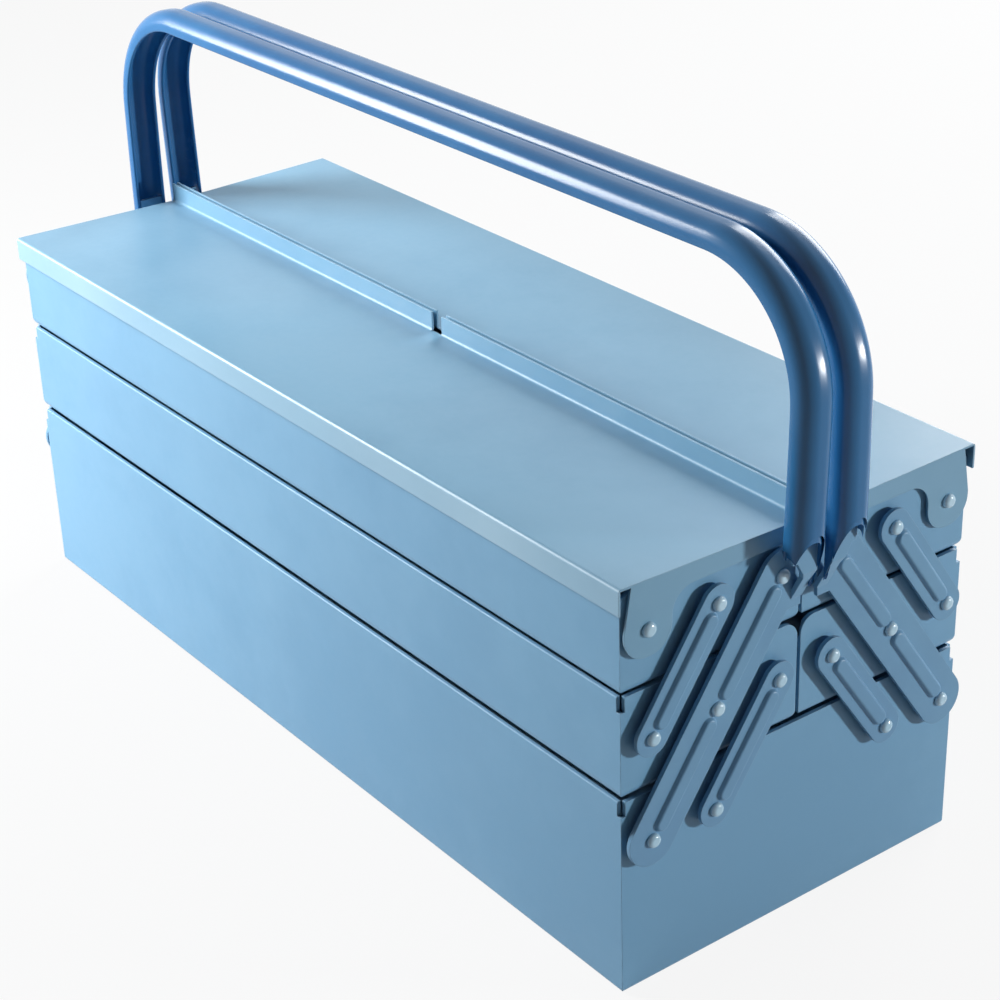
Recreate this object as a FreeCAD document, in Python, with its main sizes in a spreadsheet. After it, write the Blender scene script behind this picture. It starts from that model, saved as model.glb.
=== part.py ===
import FreeCAD, Part
import os
import Sketcher

# Cantilever tool box with five trays, two lids and two bail handles.
# Frame: X along the length, Y across the width (front is -Y), Z up.
# Origin: centre of the flat underside of the base tray. Millimetres.

SIZES = (
    ("sheet_gauge", 1.0),
    ("tray_length", 510.0),
    ("base_width", 197.0),
    ("centre_gap", 2.0),
    ("base_height", 97.7),
    ("low_seam", 0.9),
    ("mid_height", 49.7),
    ("high_seam", 0.3),
    ("top_height", 48.4),
    ("base_bend", 2.0),
    ("tray_bend", 5.0),
    ("hem_height", 7.0),
    ("hem_gauge", 0.9),
    ("rim_round", 0.8),
    ("inner_wall_drop", 9.0),
    ("outer_wall_drop", 3.6),
    ("rim_slope_width", 8.0),
    ("corner_relief_width", 2.4),
    ("corner_relief_depth", 7.0),
    ("end_corner_round", 7.5),
    ("pivot_inset", 13.0),
    ("pivot_step_share", 0.4094),
    ("base_pivot_drop", 20.7),
    ("arm_gauge", 2.0),
    ("arm_standoff", 3.0),
    ("long_arm_width", 25.0),
    ("short_arm_width", 17.0),
    ("rib_width", 8.0),
    ("rib_height", 1.8),
    ("rib_slope", 30.0),
    ("rib_round", 1.2),
    ("rib_clearance", 8.0),
    ("rivet_diameter", 4.0),
    ("rivet_head_diameter", 6.8),
    ("rivet_head_height", 2.2),
    ("rivet_head_round", 1.9),
    ("rivet_tail_diameter", 6.6),
    ("rivet_tail_height", 1.2),
    ("rivet_tail_round", 0.7),
    ("running_clearance", 0.05),
    ("end_play", 0.1),
    ("spacer_diameter", 8.0),
    ("lid_rise", 3.0),
    ("lid_dip", 1.8),
    ("lid_overhang", 2.3),
    ("lid_bend", 1.6),
    ("lid_fold", 1.5),
    ("skirt_depth", 12.0),
    ("flange_depth", 10.0),
    ("ear_half_width", 12.5),
    ("ear_drop", 12.5),
    ("ear_round", 11.5),
    ("ear_blend", 11.0),
    ("ear_setback", 6.5),
    ("upturn_height", 10.0),
    ("latch_slot_width", 8.0),
    ("handle_width", 18.0),
    ("handle_gauge", 1.2),
    ("handle_offset", 9.2),
    ("handle_splay", 2.2),
    ("bar_rise", 132.0),
    ("leg_standoff", 12.5),
    ("handle_corner_radius", 54.0),
    ("leg_lean", 1.7),
    ("leg_foot_drop", 7.0),
    ("mouth_top_rise", 31.0),
    ("mouth_foot_drop", 4.0),
    ("trim_top_rise", 30.0),
    ("trim_foot_drop", 2.0),
    ("trim_inset", 2.5),
    ("tang_width", 13.8),
    ("tang_offset", 11.2),
    ("tang_standoff", 8.6),
    ("tang_top_rise", 22.0),
    ("joggle_low_drop", 13.0),
    ("joggle_high_rise", 3.0),
    ("tang_root_drop", 17.0),
    ("tang_root_rise", 5.0),
    ("tang_root_inset", 4.9),
    ("tang_neck_width", 5.6),
    ("tang_shoulder_rise", 9.0),
    ("cut_overrun", 5.0),
)

doc = FreeCAD.newDocument("cantilever_tool_box")
sheet = doc.addObject("Spreadsheet::Sheet", "sizes")
for row, (alias, number) in enumerate(SIZES, start=1):
    sheet.set(f"A{row}", alias)
    sheet.set(f"B{row}", str(number))
    sheet.setAlias(f"B{row}", alias)
doc.recompute()

FRONT, REAR = -1, 1
RIGHT, LEFT = 1, -1
HALF_NAMES = {FRONT: "front", REAR: "rear"}
END_NAMES = {RIGHT: "right", LEFT: "left"}

# Places that several pieces share, each written from the named sizes.
HALF_LENGTH = "(sizes.tray_length / 2)"
HALF_WIDTH = "(sizes.base_width / 2)"
SIDE_TRAY_WIDTH = "(sizes.base_width / 2 - sizes.centre_gap / 2)"
SIDE_TRAY_CENTRE = "(sizes.base_width / 4 + sizes.centre_gap / 4)"
MID_BOTTOM = "(sizes.base_height + sizes.low_seam)"
MID_RIM = f"({MID_BOTTOM} + sizes.mid_height)"
TOP_BOTTOM = f"({MID_RIM} + sizes.high_seam)"
TOP_RIM = f"({TOP_BOTTOM} + sizes.top_height)"
LID_TOP = f"({TOP_RIM} + sizes.lid_rise)"
PIVOT_OUTER = "(sizes.base_width / 2 - sizes.pivot_inset)"
STEP_ACROSS = f"({PIVOT_OUTER} * sizes.pivot_step_share)"
STEP_UP = "(sizes.mid_height + sizes.high_seam)"
PIVOT_MIDDLE = f"({PIVOT_OUTER} - {STEP_ACROSS})"
PIVOT_INNER = f"({PIVOT_OUTER} - 2 * {STEP_ACROSS})"
PIVOT_LOW = "(sizes.base_height - sizes.base_pivot_drop)"
PIVOT_MID = f"({PIVOT_LOW} + {STEP_UP})"
PIVOT_HIGH = f"({PIVOT_LOW} + 2 * {STEP_UP})"
ARM_INNER_FACE = f"({HALF_LENGTH} + sizes.arm_standoff)"
ARM_OUTER_FACE = f"({ARM_INNER_FACE} + sizes.arm_gauge)"
LID_HALF_LENGTH = f"({HALF_LENGTH} + sizes.lid_overhang)"
LID_FLANGE_INNER = f"({LID_HALF_LENGTH} - sizes.sheet_gauge)"
BAR_HEIGHT = f"({PIVOT_HIGH} + sizes.bar_rise)"
LEG_REACH = "(sizes.bar_rise + sizes.leg_foot_drop)"
HOLE_DIAMETER = "(sizes.rivet_diameter + 2 * sizes.running_clearance)"

parts = []


def value(expression):
    """Number that an expression of named sizes gives now."""
    return float(sheet.evalExpression(expression))


def signed(sign, expression):
    """Expression with the sign of a half or an end put in front."""
    return f"({sign} * {expression})"


def new_body(label, across="0", height="0"):
    """Body for one piece, placed at its own reference point."""
    body = doc.addObject("PartDesign::Body", label)
    body.Label = label
    body.setExpression("Placement.Base.y", across)
    body.setExpression("Placement.Base.z", height)
    parts.append(body)
    return body


def new_sketch(body, role, shift=None):
    """Sketch on one of the body's own planes, moved along its normal."""
    plane = origin_plane(body, role)
    sketch = body.newObject("Sketcher::SketchObject", f"{body.Name}_sketch")
    sketch.AttachmentSupport = (plane, [""])
    sketch.MapMode = "FlatFace"
    if shift is not None:
        sketch.setExpression("AttachmentOffset.Base.z", shift)
    return sketch


def origin_plane(body, role):
    """Origin plane of a body, found by its role."""
    return next(item for item in body.Origin.OriginFeatures if item.Role == role)


def fix_point(sketch, geometry, vertex, across, up):
    """Tie one vertex to two expressions measured from the sketch origin."""
    for kind, expression in (("DistanceX", across), ("DistanceY", up)):
        rule = Sketcher.Constraint(kind, -1, 1, geometry, vertex, value(expression))
        index = sketch.addConstraint(rule)
        sketch.setExpression(f"Constraints[{index}]", expression)


def draw_polygon(sketch, corners):
    """Closed outline of straight lines through the given corners."""
    first = sketch.GeometryCount
    count = len(corners)
    spots = [FreeCAD.Vector(value(u), value(v), 0) for u, v in corners]
    for index in range(count):
        line = Part.LineSegment(spots[index], spots[(index + 1) % count])
        sketch.addGeometry(line)
    for index in range(count):
        following = first + (index + 1) % count
        sketch.addConstraint(Sketcher.Constraint("Coincident", first + index, 2, following, 1))
    for index, (across, up) in enumerate(corners):
        fix_point(sketch, first + index, 1, across, up)


def draw_rectangle(sketch, u_low, u_high, v_low, v_high):
    """Closed rectangle between two expressions each way."""
    draw_polygon(sketch, ((u_low, v_low), (u_high, v_low), (u_high, v_high), (u_low, v_high)))


def draw_circle(sketch, across, up, diameter):
    """Circle with its centre and diameter tied to expressions."""
    centre = FreeCAD.Vector(value(across), value(up), 0)
    normal = FreeCAD.Vector(0, 0, 1)
    circle = sketch.addGeometry(Part.Circle(centre, normal, value(diameter) / 2))
    fix_point(sketch, circle, 3, across, up)
    index = sketch.addConstraint(Sketcher.Constraint("Diameter", circle, value(diameter)))
    sketch.setExpression(f"Constraints[{index}]", diameter)


def draw_slot(sketch, start, finish, width):
    """Strip with round ends about two centres."""
    normal = FreeCAD.Vector(0, 0, 1)
    first_centre = FreeCAD.Vector(value(start[0]), value(start[1]), 0)
    last_centre = FreeCAD.Vector(value(finish[0]), value(finish[1]), 0)
    radius = value(width) / 2
    along = (last_centre - first_centre).normalize()
    across = normal.cross(along) * radius
    near_cap = Part.Arc(first_centre + across, first_centre - along * radius, first_centre - across)
    far_cap = Part.Arc(last_centre - across, last_centre + along * radius, last_centre + across)
    near = sketch.addGeometry(near_cap)
    low = sketch.addGeometry(Part.LineSegment(first_centre - across, last_centre - across))
    far = sketch.addGeometry(far_cap)
    high = sketch.addGeometry(Part.LineSegment(last_centre + across, first_centre + across))
    joints = ((near, 2, low, 1), (low, 2, far, 1), (far, 2, high, 1), (high, 2, near, 1))
    for joint in joints:
        sketch.addConstraint(Sketcher.Constraint("Tangent", *joint))
    fix_point(sketch, near, 3, *start)
    fix_point(sketch, far, 3, *finish)
    for cap in (near, far):
        index = sketch.addConstraint(Sketcher.Constraint("Radius", cap, radius))
        sketch.setExpression(f"Constraints[{index}]", f"{width} / 2")


def add_pad(body, sketch, length, backwards=False, both_ways=False):
    """Pad of a sketch, with its length tied to an expression."""
    pad = body.newObject("PartDesign::Pad", f"{body.Name}_pad")
    pad.Profile = sketch
    pad.setExpression("Length", length)
    pad.Reversed = backwards
    pad.Midplane = both_ways
    body.Tip = pad
    doc.recompute()
    return pad


def add_pocket(body, sketch, length, backwards=False, both_ways=False):
    """Pocket of a sketch, checked to take material away."""
    before = body.Shape.Volume
    pocket = body.newObject("PartDesign::Pocket", f"{body.Name}_pocket")
    pocket.Profile = sketch
    pocket.setExpression("Length", length)
    pocket.Reversed = backwards
    pocket.Midplane = both_ways
    body.Tip = pocket
    doc.recompute()
    if body.Shape.Volume >= before:
        raise RuntimeError(f"{pocket.Name} cuts nothing")
    return pocket


def add_fillet(body, radius, wanted):
    """Fillet of the edges whose middle point passes a test."""
    base = body.Tip
    names = []
    for index, edge in enumerate(base.Shape.Edges, start=1):
        middle = edge.valueAt((edge.FirstParameter + edge.LastParameter) / 2)
        if wanted(edge, middle):
            names.append(f"Edge{index}")
    if not names:
        raise RuntimeError(f"{body.Name} has no edge to round")
    fillet = body.newObject("PartDesign::Fillet", f"{body.Name}_fillet")
    fillet.Base = (base, names)
    fillet.setExpression("Radius", radius)
    body.Tip = fillet
    doc.recompute()
    return fillet


def mirror_ends(body, features):
    """Copy of the given features at the other end of the box."""
    mirrored = body.newObject("PartDesign::Mirrored", f"{body.Name}_mirror")
    mirrored.Originals = features
    mirrored.MirrorPlane = (origin_plane(body, "YZ_Plane"), [""])
    body.Tip = mirrored
    doc.recompute()
    return mirrored


def near_value(number, expression):
    """True where a coordinate lies on the place that an expression gives."""
    return abs(number - value(expression)) < value("sizes.running_clearance") / 2


def runs_along(edge, axis):
    """True for a straight edge parallel to the given axis number."""
    first, last = edge.Vertexes[0].Point, edge.Vertexes[-1].Point
    step = last - first
    others = [abs(step[index]) for index in range(3) if index != axis]
    return abs(step[axis]) > 0 and max(others) < value("sizes.running_clearance") / 2


# Trays: folded sheet with a hemmed rim and rivet holes through the end walls.

def add_shell(body, width, height, bend):
    """Open box with its origin at the centre of its underside."""
    outline = new_sketch(body, "XY_Plane")
    half = f"({width} / 2)"
    draw_rectangle(outline, f"-{HALF_LENGTH}", HALF_LENGTH, f"-{half}", half)
    add_pad(body, outline, height)
    wall = "sizes.sheet_gauge"
    add_hollow(body, width, f"({height} - {wall})", f"({wall} + sizes.hem_gauge)", wall)
    inner_height = f"({height} - {wall} - sizes.hem_height)"
    add_hollow(body, width, inner_height, wall, wall)
    add_fillet(body, f"({bend} - {wall})", lambda edge, middle: near_value(middle.z, wall))
    add_fillet(body, bend, lambda edge, middle: near_value(middle.z, "0"))


def round_rim(body, sides, half_width, height):
    """Round the outer edge of the hemmed rim of the given long walls."""

    def is_rim(edge, middle):
        on_side = any(near_value(middle.y, signed(side, half_width)) for side in sides)
        return on_side and near_value(middle.z, height) and runs_along(edge, 0)

    add_fillet(body, "sizes.rim_round", is_rim)


def add_hollow(body, width, depth, wall, floor):
    """Pocket of the given depth that leaves a wall all round."""
    hollow = new_sketch(body, "XY_Plane", floor)
    end = f"({HALF_LENGTH} - {wall})"
    side = f"({width} / 2 - {wall})"
    draw_rectangle(hollow, f"-{end}", end, f"-{side}", side)
    add_pocket(body, hollow, depth, backwards=True)


def add_end_holes(body, centre, bottom, pivots):
    """Rivet holes through both end walls."""
    holes = new_sketch(body, "YZ_Plane")
    for across, up in pivots:
        draw_circle(holes, f"({across} - {centre})", f"({up} - {bottom})", HOLE_DIAMETER)
    add_pocket(body, holes, "(sizes.tray_length + 2 * sizes.cut_overrun)", both_ways=True)


def base_pivots():
    """Rivet places on the base tray, both halves."""
    return [
        (signed(half, across), PIVOT_LOW)
        for half in (FRONT, REAR)
        for across in (PIVOT_OUTER, PIVOT_MIDDLE)
    ]


def mid_pivots(half):
    """Rivet places on the mid tray of one half."""
    return [(signed(half, across), PIVOT_MID) for across in (PIVOT_OUTER, PIVOT_MIDDLE, PIVOT_INNER)]


def top_pivots(half):
    """Rivet places of the two arms on the top tray of one half."""
    return [(signed(half, across), PIVOT_HIGH) for across in (PIVOT_MIDDLE, PIVOT_INNER)]


def lid_pivots(half):
    """Rivet place of the lid on the top tray of one half."""
    return [(signed(half, PIVOT_OUTER), PIVOT_HIGH)]


def make_base_tray():
    """Deep tray that carries both halves."""
    body = new_body("base_tray")
    add_shell(body, "sizes.base_width", "sizes.base_height", "sizes.base_bend")
    round_rim(body, (FRONT, REAR), HALF_WIDTH, "sizes.base_height")
    add_reliefs(body, (FRONT, REAR), HALF_WIDTH, "sizes.base_height")
    add_end_holes(body, "0", "0", base_pivots())


def make_mid_tray(half):
    """Middle tray of one half."""
    centre = signed(half, SIDE_TRAY_CENTRE)
    body = new_body(f"{HALF_NAMES[half]}_mid_tray", centre, MID_BOTTOM)
    add_shell(body, SIDE_TRAY_WIDTH, "sizes.mid_height", "sizes.tray_bend")
    lower_wall(body, -half, "sizes.mid_height", "sizes.inner_wall_drop")
    round_corners(body, -half, "sizes.mid_height")
    round_rim(body, (half,), f"({SIDE_TRAY_WIDTH} / 2)", "sizes.mid_height")
    add_reliefs(body, (half,), f"({SIDE_TRAY_WIDTH} / 2)", "sizes.mid_height")
    add_end_holes(body, centre, MID_BOTTOM, mid_pivots(half))


def make_top_tray(half):
    """Top tray of one half, with room for its lid to swing over the outer rim."""
    centre = signed(half, SIDE_TRAY_CENTRE)
    body = new_body(f"{HALF_NAMES[half]}_top_tray", centre, TOP_BOTTOM)
    add_shell(body, SIDE_TRAY_WIDTH, "sizes.top_height", "sizes.tray_bend")
    lower_wall(body, -half, "sizes.top_height", "sizes.inner_wall_drop")
    round_corners(body, -half, "sizes.top_height")
    lower_wall(body, half, "sizes.top_height", "sizes.outer_wall_drop")
    slope_corners(body, half, "sizes.top_height", "sizes.outer_wall_drop")
    add_end_holes(body, centre, TOP_BOTTOM, top_pivots(half) + lid_pivots(half))


def lower_wall(body, side, height, drop):
    """Cut one long wall below the rim of the end walls."""
    wall = "(sizes.sheet_gauge + sizes.hem_gauge)"
    end = f"({HALF_LENGTH} - sizes.sheet_gauge)"
    outside = signed(side, f"({SIDE_TRAY_WIDTH} / 2 + sizes.cut_overrun)")
    inside = signed(side, f"({SIDE_TRAY_WIDTH} / 2 - {wall})")
    strip = new_sketch(body, "XY_Plane", height)
    draw_rectangle(strip, f"-{end}", end, outside, inside)
    add_pocket(body, strip, drop)


def round_corners(body, side, height):
    """Round the end walls down towards a lower long wall."""
    corner = signed(side, f"({SIDE_TRAY_WIDTH} / 2)")

    def is_corner(edge, middle):
        on_rim = near_value(middle.y, corner) and near_value(middle.z, height)
        return on_rim and runs_along(edge, 0)

    add_fillet(body, "sizes.end_corner_round", is_corner)


def slope_corners(body, side, height, drop):
    """Slope the end walls down to a lower long wall."""
    face = f"({SIDE_TRAY_WIDTH} / 2)"
    slope = new_sketch(body, "YZ_Plane")
    draw_polygon(slope, (
        (signed(side, f"({face} - sizes.rim_slope_width)"), height),
        (signed(side, face), f"({height} - {drop})"),
        (signed(side, f"({face} + sizes.cut_overrun)"), f"({height} - {drop})"),
        (signed(side, f"({face} + sizes.cut_overrun)"), height),
    ))
    add_pocket(body, slope, "(sizes.tray_length + 2 * sizes.cut_overrun)", both_ways=True)


def add_reliefs(body, sides, half_width, height):
    """Small notch at each rim corner, where the hems of two walls meet."""
    notches = new_sketch(body, "XY_Plane", height)
    over = "sizes.cut_overrun"
    width = "sizes.corner_relief_width"
    for end in (RIGHT, LEFT):
        for side in sides:
            draw_rectangle(
                notches,
                signed(end, f"({HALF_LENGTH} - {width})"),
                signed(end, f"({HALF_LENGTH} + {over})"),
                signed(side, f"({half_width} - {width})"),
                signed(side, f"({half_width} + {over})"),
            )
    add_pocket(body, notches, "sizes.corner_relief_depth")


# Lids: shallow folded covers that swing outwards about rivets in their ears.

def make_lid(half):
    """Lid with a skirt, end flanges with ears, and an upturned inner edge."""
    across = signed(half, PIVOT_OUTER)
    body = new_body(f"{HALF_NAMES[half]}_lid", across, PIVOT_HIGH)
    gauge = "sizes.sheet_gauge"
    outer = f"({HALF_WIDTH} + sizes.lid_overhang - {PIVOT_OUTER})"
    inner = f"({PIVOT_OUTER} - sizes.centre_gap / 2)"
    top = f"({LID_TOP} - {PIVOT_HIGH})"
    inner_top = f"({top} - sizes.lid_dip)"
    upturn = f"({inner_top} + sizes.upturn_height)"
    skirt_low = f"({top} - sizes.skirt_depth)"
    inner_face = f"({inner} - {gauge})"
    under_fold = f"({inner_top} - {gauge})"
    profile = new_sketch(body, "YZ_Plane")
    draw_polygon(profile, (
        (signed(half, outer), skirt_low),
        (signed(half, outer), top),
        (signed(-half, inner_face), inner_top),
        (signed(-half, inner_face), upturn),
        (signed(-half, inner), upturn),
        (signed(-half, inner), under_fold),
        (signed(half, f"({outer} - {gauge})"), f"({top} - {gauge})"),
        (signed(half, f"({outer} - {gauge})"), skirt_low),
    ))
    add_pad(body, profile, f"(2 * {LID_HALF_LENGTH})", both_ways=True)

    round_fold(body, "sizes.lid_bend", signed(half, outer), top)
    round_fold(body, "sizes.lid_fold", signed(-half, inner_face), inner_top)
    round_fold(body, "(sizes.lid_fold + sizes.sheet_gauge)", signed(-half, inner), under_fold)
    add_latch_slot(body, half, inner, inner_top)
    add_end_flanges(body, half, outer, inner, top, inner_top)


def round_fold(body, radius, across, height):
    """Round one fold that runs along the whole lid."""

    def is_fold(edge, middle):
        on_fold = near_value(middle.y, across) and near_value(middle.z, height)
        return on_fold and runs_along(edge, 0)

    add_fillet(body, radius, is_fold)


def add_latch_slot(body, half, inner, inner_top):
    """Slot in the middle of the upturned edge for a padlock."""
    slot = new_sketch(body, "XZ_Plane", signed(half, f"({inner} + sizes.cut_overrun)"))
    width = "(sizes.latch_slot_width / 2)"
    high = f"({inner_top} + sizes.upturn_height + sizes.cut_overrun)"
    draw_rectangle(slot, f"-{width}", width, inner_top, high)
    depth = "(sizes.sheet_gauge + sizes.cut_overrun + sizes.lid_fold)"
    add_pocket(body, slot, depth, backwards=half == FRONT)


def add_end_flanges(body, half, outer, inner, top, inner_top):
    """End flange with its ear about the pivot, at both ends of the lid."""
    flange = new_sketch(body, "YZ_Plane", LID_FLANGE_INNER)
    low = f"({top} - sizes.flange_depth)"
    front = f"({outer} - sizes.ear_setback)"
    ear = "sizes.ear_half_width"
    draw_polygon(flange, (
        (signed(half, front), f"({top} - sizes.sheet_gauge)"),
        (signed(-half, inner), f"({inner_top} - sizes.sheet_gauge)"),
        (signed(-half, inner), low),
        (signed(-half, ear), low),
        (signed(-half, ear), "(-sizes.ear_drop)"),
        (signed(half, ear), "(-sizes.ear_drop)"),
        (signed(half, ear), "sizes.sheet_gauge"),
    ))
    draw_circle(flange, "0", "0", HOLE_DIAMETER)
    pad = add_pad(body, flange, "sizes.sheet_gauge")
    mirror_ends(body, [pad])

    def is_ear_foot(edge, middle):
        return near_value(middle.z, "(-sizes.ear_drop)") and runs_along(edge, 0)

    def is_ear_neck(edge, middle):
        on_neck = near_value(middle.y, signed(-half, ear)) and near_value(middle.z, low)
        return on_neck and runs_along(edge, 0)

    add_fillet(body, "sizes.ear_round", is_ear_foot)
    add_fillet(body, "sizes.ear_blend", is_ear_neck)


# Arms: pressed strips with a raised rib between their rivets.

def add_strip(body, half, end, reach, width):
    """Strip from its lower pivot over the given number of pivot steps."""
    strip = new_sketch(body, "YZ_Plane")
    far = pivot_step(half, reach)
    draw_slot(strip, ("0", "0"), far, width)
    for count in range(reach + 1):
        across, up = pivot_step(half, count)
        draw_circle(strip, across, up, HOLE_DIAMETER)
    add_pad(body, strip, "sizes.arm_gauge", backwards=end == LEFT)


def pivot_step(half, count):
    """Place of a pivot, counted in steps up the closed arm."""
    return (
        signed(-half, f"({count} * {STEP_ACROSS})"),
        f"({count} * {STEP_UP})",
    )


def add_ribs(body, half, end, reach):
    """Raised rib between each pair of neighbouring rivets."""
    face = signed(end, "sizes.arm_gauge")
    ribs = new_sketch(body, "YZ_Plane", face)
    pitch = f"sqrt({STEP_ACROSS} ^ 2 + {STEP_UP} ^ 2)"
    share = f"(sizes.rib_clearance / {pitch})"
    for count in range(reach):
        ends = []
        for step in (f"({count} + {share})", f"({count + 1} - {share})"):
            ends.append((signed(-half, f"({step} * {STEP_ACROSS})"), f"({step} * {STEP_UP})"))
        draw_slot(ribs, ends[0], ends[1], "sizes.rib_width")
    rib = add_pad(body, ribs, "sizes.rib_height", backwards=end == LEFT)
    rib.setExpression("TaperAngle", "-1 deg * sizes.rib_slope")
    doc.recompute()
    crest = signed(end, "(sizes.arm_gauge + sizes.rib_height)")
    add_fillet(body, "sizes.rib_round", lambda edge, middle: near_value(middle.x, crest))


def new_arm(label, half, end, across, height):
    """Body of an arm, with its origin on the lower pivot at its inner face."""
    body = new_body(label, signed(half, across), height)
    body.setExpression("Placement.Base.x", signed(end, ARM_INNER_FACE))
    return body


def make_short_arm(label, half, end, across, height):
    """Short arm that keeps a tray level."""
    body = new_arm(label, half, end, across, height)
    add_strip(body, half, end, 1, "sizes.short_arm_width")
    add_ribs(body, half, end, 1)


def make_long_arm(label, half, end):
    """Long arm whose top runs up into the foot of the handle."""
    body = new_arm(label, half, end, PIVOT_OUTER, PIVOT_LOW)
    add_strip(body, half, end, 2, "sizes.long_arm_width")
    add_tang(body, half, end)
    add_ribs(body, half, end, 2)


def add_tang(body, half, end):
    """Joggled tongue beside the top rivet that enters the handle."""
    rivet_across = f"(2 * {STEP_ACROSS})"
    rivet_height = f"(2 * {STEP_UP})"
    to_centre = f"({PIVOT_OUTER} - sizes.tang_offset)"
    root_edge = f"({PIVOT_OUTER} - sizes.tang_root_inset)"
    neck_edge = f"({root_edge} - sizes.tang_neck_width)"
    low = f"({rivet_height} - sizes.joggle_low_drop)"
    high = f"({rivet_height} + sizes.joggle_high_rise)"
    root = new_sketch(body, "YZ_Plane")
    draw_rectangle(
        root,
        signed(-half, rivet_across),
        signed(-half, root_edge),
        f"({rivet_height} - sizes.tang_root_drop)",
        f"({rivet_height} - sizes.tang_root_rise)",
    )
    add_pad(body, root, "sizes.arm_gauge", backwards=end == LEFT)
    gauge = "sizes.arm_gauge"
    out = "sizes.tang_standoff"
    top = f"({rivet_height} + sizes.tang_top_rise)"
    side_shift = signed(half, f"({to_centre} - sizes.tang_width / 2)")
    profile = new_sketch(body, "XZ_Plane", side_shift)
    draw_polygon(profile, (
        ("0", low),
        (signed(end, gauge), low),
        (signed(end, f"({out} + {gauge})"), high),
        (signed(end, f"({out} + {gauge})"), top),
        (signed(end, out), top),
        (signed(end, out), f"({high} + {gauge} / 2)"),
        ("0", f"({low} + {gauge} / 2)"),
    ))
    add_pad(body, profile, "sizes.tang_width", backwards=half == FRONT)
    notch = new_sketch(body, "YZ_Plane", signed(end, gauge))
    far_side = f"({to_centre} - sizes.tang_width / 2 - sizes.cut_overrun)"
    shoulder = f"({rivet_height} + sizes.tang_shoulder_rise)"
    draw_polygon(notch, (
        (signed(-half, far_side), low),
        (signed(-half, neck_edge), low),
        (signed(-half, neck_edge), rivet_height),
        (signed(-half, rivet_across), shoulder),
        (signed(-half, far_side), shoulder),
    ))
    depth = f"({out} + sizes.cut_overrun)"
    add_pocket(body, notch, depth, backwards=end == RIGHT)


# Handles: one half-round channel each, bent into a bail.

def make_handle(half):
    """Bail of half-round channel, open towards its inside."""
    label = f"{HALF_NAMES[half]}_handle"
    body = new_body(label, signed(half, "sizes.handle_offset"), BAR_HEIGHT)
    body.setExpression("Placement.Rotation.Axis.x", "1")
    body.setExpression("Placement.Rotation.Axis.y", "0")
    body.setExpression("Placement.Rotation.Axis.z", "0")
    body.setExpression("Placement.Rotation.Angle", signed(half, f"asin(sizes.handle_splay / {LEG_REACH})"))
    path = new_sketch(body, "XZ_Plane")
    draw_bail(path)
    section = new_sketch(body, "YZ_Plane")
    draw_channel(section)
    doc.recompute()
    bail = body.newObject("PartDesign::AdditivePipe", f"{body.Name}_bail")
    bail.Profile = section
    bail.Spine = (path, [])
    bail.Transition = "Transformed"
    body.Tip = bail
    doc.recompute()
    mirror_ends(body, [bail])
    add_mouths(body)
    trim_feet(body, half)


def draw_bail(sketch):
    """Half of the bar, one round corner and one leg that bows slightly inwards."""
    corner = "sizes.handle_corner_radius"
    drop = f"({LEG_REACH} - {corner})"
    bow = f"(({drop} ^ 2 + sizes.leg_lean ^ 2) / (2 * sizes.leg_lean))"
    leg = f"({HALF_LENGTH} + sizes.leg_standoff)"
    bend = f"({leg} - {corner})"
    normal = FreeCAD.Vector(0, 0, 1)
    start = FreeCAD.Vector(0, 0, 0)
    bar_end = FreeCAD.Vector(value(bend), 0, 0)
    corner_circle = Part.Circle(FreeCAD.Vector(value(bend), -value(corner), 0), normal, value(corner))
    bow_centre = FreeCAD.Vector(value(leg) - value(bow), -value(corner), 0)
    bow_circle = Part.Circle(bow_centre, normal, value(bow))
    turn = value(f"asin({drop} / {bow}) / 1 rad")
    bar = sketch.addGeometry(Part.LineSegment(start, bar_end))
    bend_arc = sketch.addGeometry(Part.ArcOfCircle(corner_circle, 0, value("pi / 2")))
    leg_arc = sketch.addGeometry(Part.ArcOfCircle(bow_circle, -turn, 0))
    sketch.addConstraint(Sketcher.Constraint("Coincident", bar, 1, -1, 1))
    fix_point(sketch, bar, 2, bend, "0")
    sketch.addConstraint(Sketcher.Constraint("Tangent", bar, 2, bend_arc, 2))
    sketch.addConstraint(Sketcher.Constraint("Tangent", bend_arc, 1, leg_arc, 2))
    for arc, radius in ((bend_arc, corner), (leg_arc, bow)):
        index = sketch.addConstraint(Sketcher.Constraint("Radius", arc, value(radius)))
        sketch.setExpression(f"Constraints[{index}]", radius)
    for arc, depth in ((bend_arc, corner), (leg_arc, LEG_REACH)):
        index = sketch.addConstraint(Sketcher.Constraint("DistanceY", arc, 1, -1, 1, value(depth)))
        sketch.setExpression(f"Constraints[{index}]", depth)


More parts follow.
